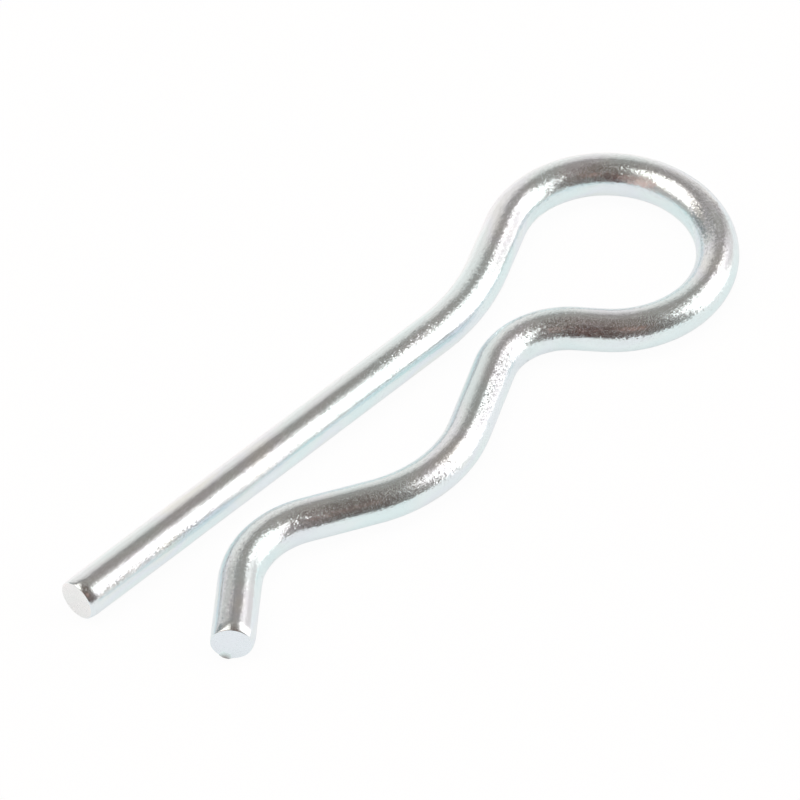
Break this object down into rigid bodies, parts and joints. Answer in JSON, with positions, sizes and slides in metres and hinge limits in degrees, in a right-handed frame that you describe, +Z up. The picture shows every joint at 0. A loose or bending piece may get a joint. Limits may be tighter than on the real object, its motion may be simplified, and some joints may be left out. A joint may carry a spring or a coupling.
{
  "type": "hitch r clip pin",
  "caption": "R-shaped spring clip of bent round wire: a straight leg for a shaft's cross hole, a waved leg that hugs the shaft and a round loop to pull it by.",
  "frame": {"origin": "on the straight leg's axis, at the centre of the shaft that the clip locks", "axes": "+X along the straight leg towards the loop, +Y away from the waved leg, +Z up off the surface that the clip lies on"},
  "size_m": [0.0761, 0.024, 0.004],
  "materials": {
    "zinc_plated_wire": "bright zinc plating on drawn spring wire"
  },
  "bodies": {
    "root": {"clip_wire": "zinc_plated_wire"}
  },
  "joints": []
}
